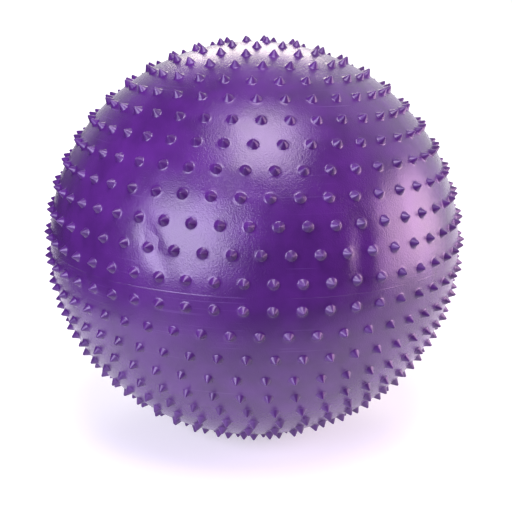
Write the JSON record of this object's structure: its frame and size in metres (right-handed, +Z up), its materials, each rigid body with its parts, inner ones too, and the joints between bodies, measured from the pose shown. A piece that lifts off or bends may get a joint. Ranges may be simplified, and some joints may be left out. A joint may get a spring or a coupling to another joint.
{
  "type": "massage ball",
  "caption": "Inflatable exercise and massage ball: a seamless skin covered in rings of rounded conical nubs, with a push-in air stopper at the top.",
  "frame": {"origin": "on the floor, under the centre of the ball", "axes": "+Z up through the poles of the nub pattern and the air valve; +Y towards the meridian on which every ring of nubs starts"},
  "size_m": [0.65, 0.65, 0.6194],
  "materials": {
    "skin_vinyl": "soft PVC, semi-gloss with a fine moulded grain",
    "valve_vinyl": "moulded PVC, satin",
    "stopper_plastic": "white polyethylene, satin"
  },
  "bodies": {
    "ball": {"ball_skin": "skin_vinyl", "valve_seat": "valve_vinyl"},
    "plug": {"valve_plug": "stopper_plastic"}
  },
  "joints": [
    {"name": "plug_pull", "type": "slide", "parent": "ball", "child": "plug", "axis": [0, 0, 1], "range_m": [0, 0.03]}
  ]
}
